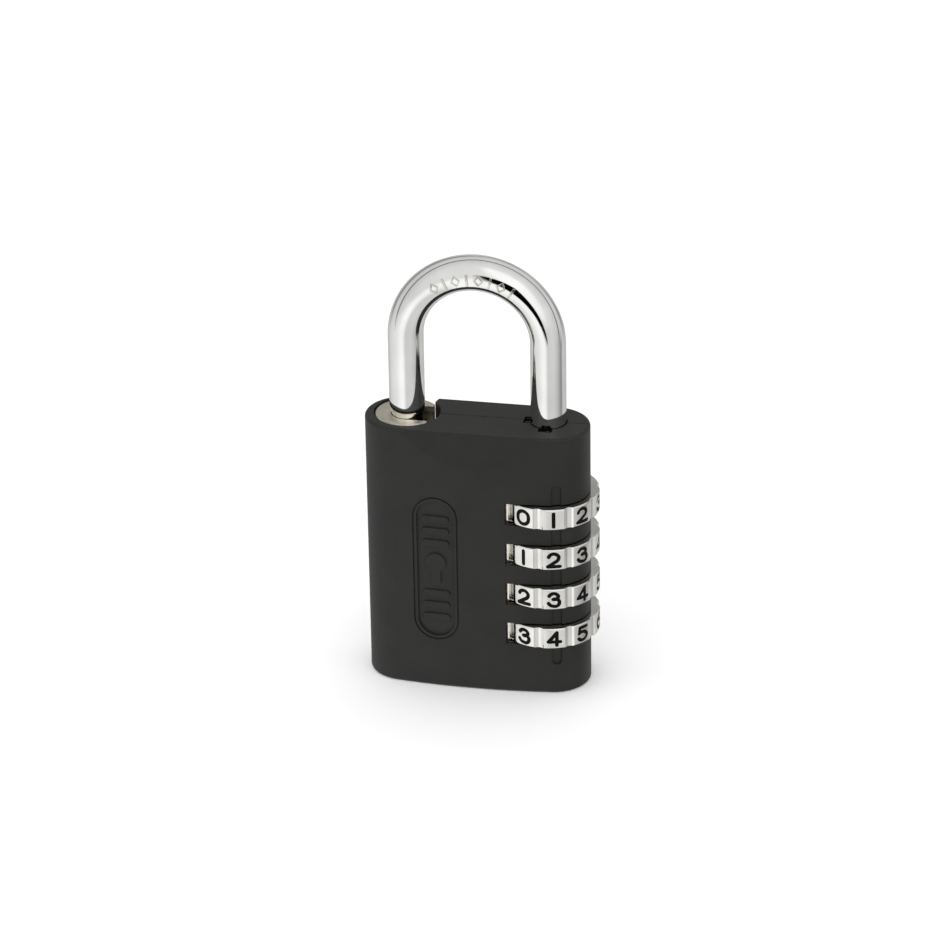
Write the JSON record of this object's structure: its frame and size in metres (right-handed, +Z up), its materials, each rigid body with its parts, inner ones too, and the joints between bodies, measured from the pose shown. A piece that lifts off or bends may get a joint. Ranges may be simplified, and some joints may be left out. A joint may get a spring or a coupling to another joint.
{
  "type": "combination padlock",
  "caption": "Plastic-jacketed padlock with number wheels stacked on one side, a key-released toe and a round-arched chromed shackle.",
  "frame": {"origin": "centre of the flat base, midway between the legs and in the plane both legs stand in", "axes": "+X towards the heel leg and the number wheels, +Y towards the back, +Z up along the shackle's legs"},
  "size_m": [0.0527, 0.0226, 0.103],
  "materials": {
    "jacket_plastic": "fine moulded texture, charcoal",
    "die_cast_zinc": "black dip coat, milled bright at the front of the wheel bays",
    "bright_steel": "turned",
    "spring_steel": "rolled strip and wire",
    "turned_brass": "turned",
    "chromed_steel": "mirror chrome plate",
    "nickelled_zinc": "satin nickel plate",
    "satin_nickel": "satin nickel plate",
    "digit_paint": "black paint in the recesses"
  },
  "bodies": {
    "body": {"front_shell": "jacket_plastic", "rear_shell": "jacket_plastic", "lock_core": "die_cast_zinc", "heel_guide_bush": "bright_steel", "heel_bore_plug": "bright_steel", "lift_spring": "spring_steel", "pin_chamber_cap": "spring_steel", "rotor_retaining_pin": "bright_steel", "click_spring": "spring_steel", "wheel_springs": "spring_steel", "driver_pins": "turned_brass", "pin_springs": "spring_steel"},
    "shackle": {"shackle": "chromed_steel", "heel_clip": "spring_steel"},
    "key_rotor": {"toe_rotor": "nickelled_zinc", "key_plug": "turned_brass", "key_pins": "turned_brass"},
    "wheel_1": {"number_ring_1": "satin_nickel", "digit_infill_1": "digit_paint", "gate_hub_1": "turned_brass"},
    "wheel_2": {"number_ring_2": "satin_nickel", "digit_infill_2": "digit_paint", "gate_hub_2": "turned_brass"},
    "wheel_3": {"number_ring_3": "satin_nickel", "digit_infill_3": "digit_paint", "gate_hub_3": "turned_brass"},
    "wheel_4": {"number_ring_4": "satin_nickel", "digit_infill_4": "digit_paint", "gate_hub_4": "turned_brass"}
  },
  "joints": [
    {"name": "shackle_lift", "type": "slide", "parent": "body", "child": "shackle", "axis": [0, 0, 1], "range_m": [0, 0.01], "deforming": ["lift_spring"]},
    {"name": "key_turn", "type": "hinge", "parent": "body", "child": "key_rotor", "pos_m": [-0.016, 0, 0], "axis": [0, 0, 1], "range_deg": [0, 90]},
    {"name": "wheel_1_turn", "type": "hinge", "parent": "body", "child": "wheel_1", "pos_m": [0.016, 0, 0.012], "axis": [0, 0, 1], "continuous": true},
    {"name": "wheel_2_turn", "type": "hinge", "parent": "body", "child": "wheel_2", "pos_m": [0.016, 0, 0.012], "axis": [0, 0, 1], "continuous": true},
    {"name": "wheel_3_turn", "type": "hinge", "parent": "body", "child": "wheel_3", "pos_m": [0.016, 0, 0.012], "axis": [0, 0, 1], "continuous": true},
    {"name": "wheel_4_turn", "type": "hinge", "parent": "body", "child": "wheel_4", "pos_m": [0.016, 0, 0.012], "axis": [0, 0, 1], "continuous": true}
  ]
}
